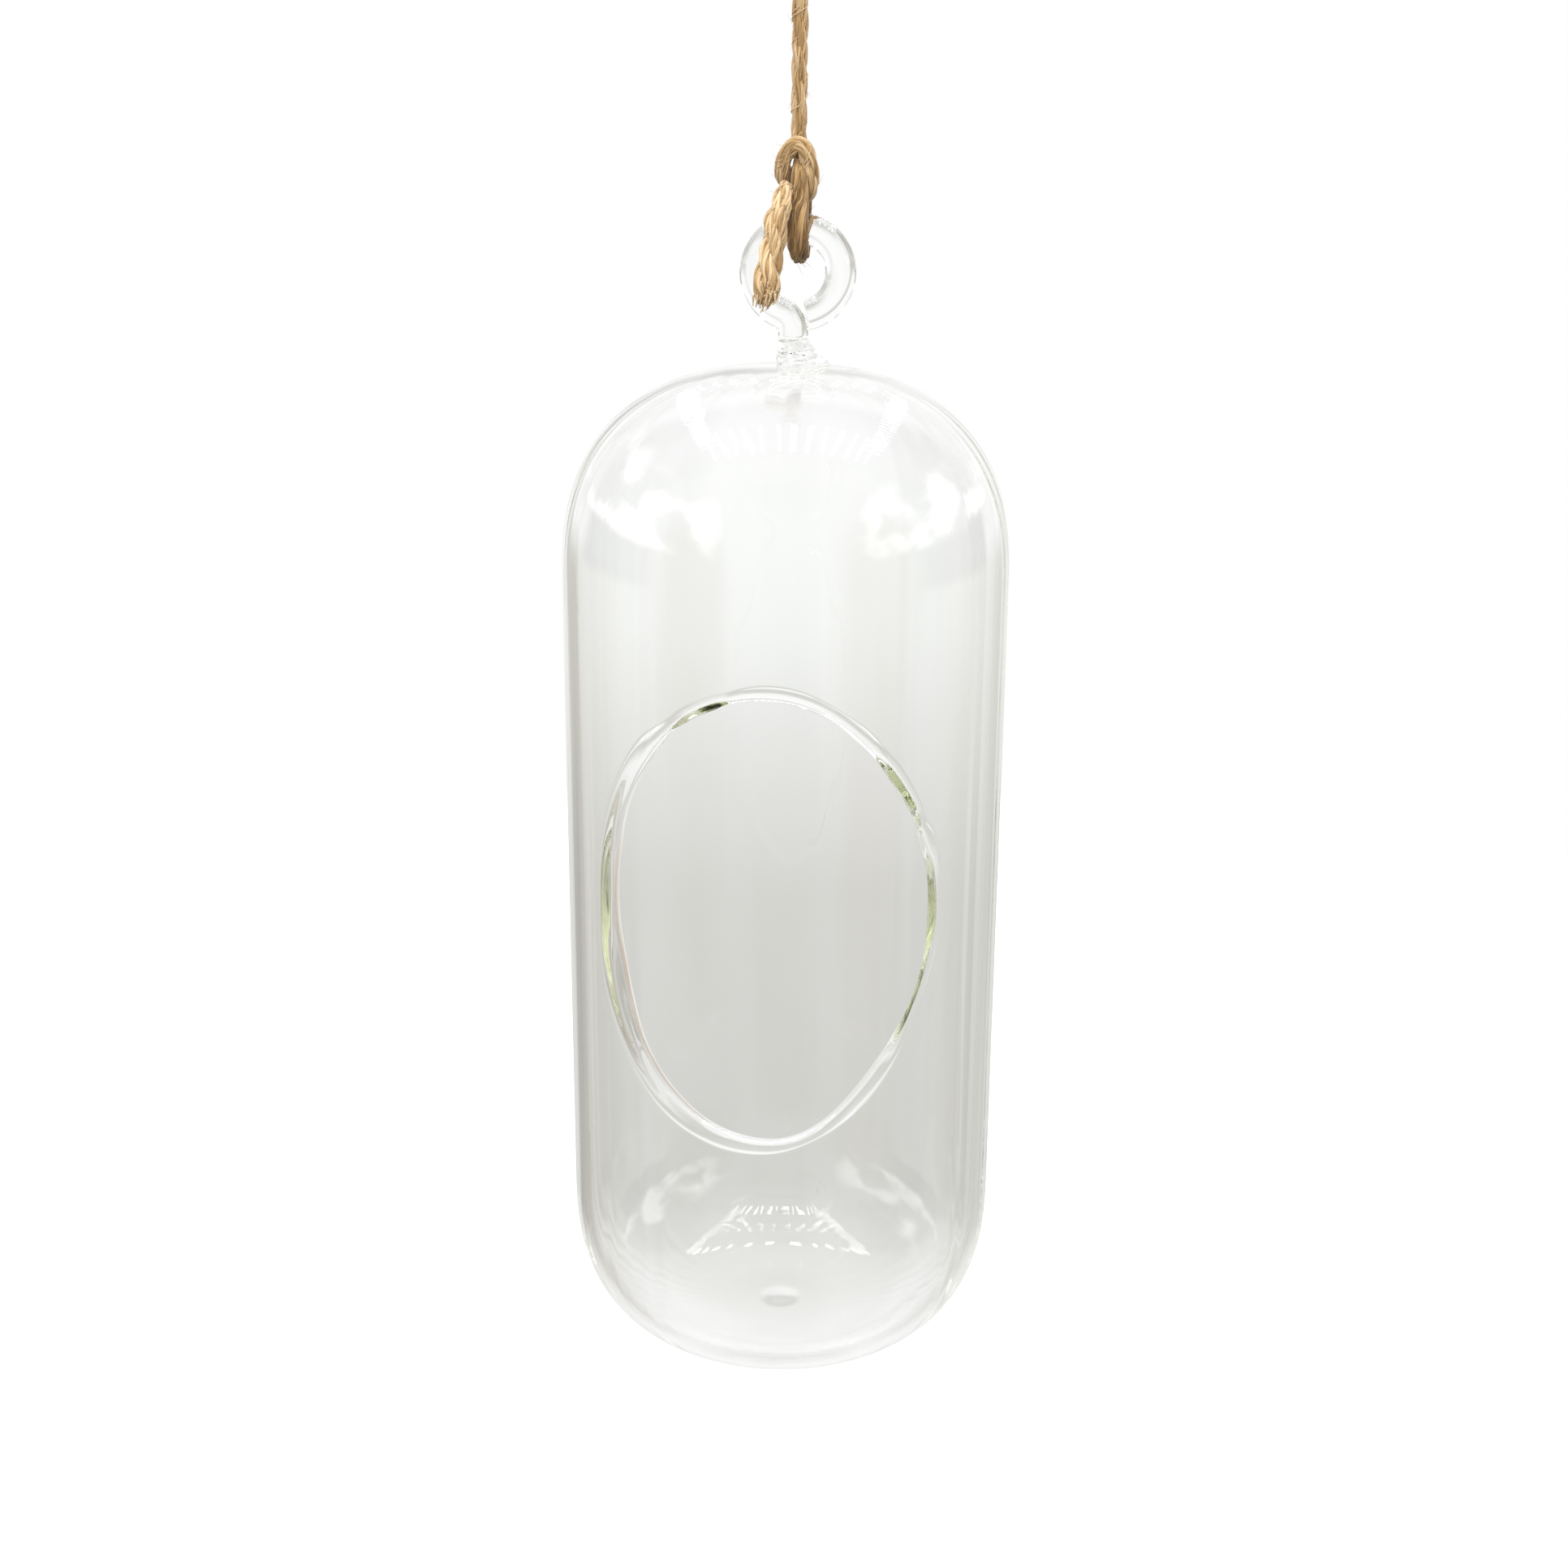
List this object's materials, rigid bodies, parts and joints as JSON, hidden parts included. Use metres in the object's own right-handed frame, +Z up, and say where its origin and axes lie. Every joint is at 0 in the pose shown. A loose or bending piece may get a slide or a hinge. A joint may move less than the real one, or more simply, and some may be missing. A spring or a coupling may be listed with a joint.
{
  "type": "hanging glass terrarium",
  "caption": "Hanging glass capsule with an egg-shaped front mouth for small plants, a bent glass rod ring welded on its dome, and a jute cord tied through the ring with an eye at its top.",
  "frame": {"origin": "the point inside the top of the cord's eye where a hook carries the part", "axes": "+Z up along the taut cord, -Y out of the vessel's mouth, +X to the right as the mouth is seen from the front"},
  "size_m": [0.0546, 0.0549, 0.2029],
  "materials": {
    "clear_glass": "clear lamp-worked glass, fire polished",
    "jute": "loosely twisted natural jute, matte and hairy"
  },
  "bodies": {
    "hanger": {"eye_loop": "jute", "eye_knot": "jute", "hanging_cord": "jute"},
    "knot": {"ring_knot": "jute", "cord_tail": "jute"},
    "loop": {"ring_bight": "jute"},
    "glass": {"hanging_ring": "clear_glass", "weld_foot": "clear_glass", "glass_body": "clear_glass"}
  },
  "joints": [
    {"name": "cord_twist", "type": "hinge", "parent": "hanger", "child": "knot", "pos_m": [0, 0, -0.0467], "axis": [0, 0, 1], "range_deg": [-180, 180]},
    {"name": "loop_sway", "type": "hinge", "parent": "knot", "child": "loop", "pos_m": [0.0003, 0, -0.0546], "axis": [0, 1, 0], "range_deg": [-15, 15]},
    {"name": "ring_swing", "type": "hinge", "parent": "loop", "child": "glass", "pos_m": [0, 0, -0.05845], "axis": [1, 0, 0], "range_deg": [-25, 25]}
  ]
}
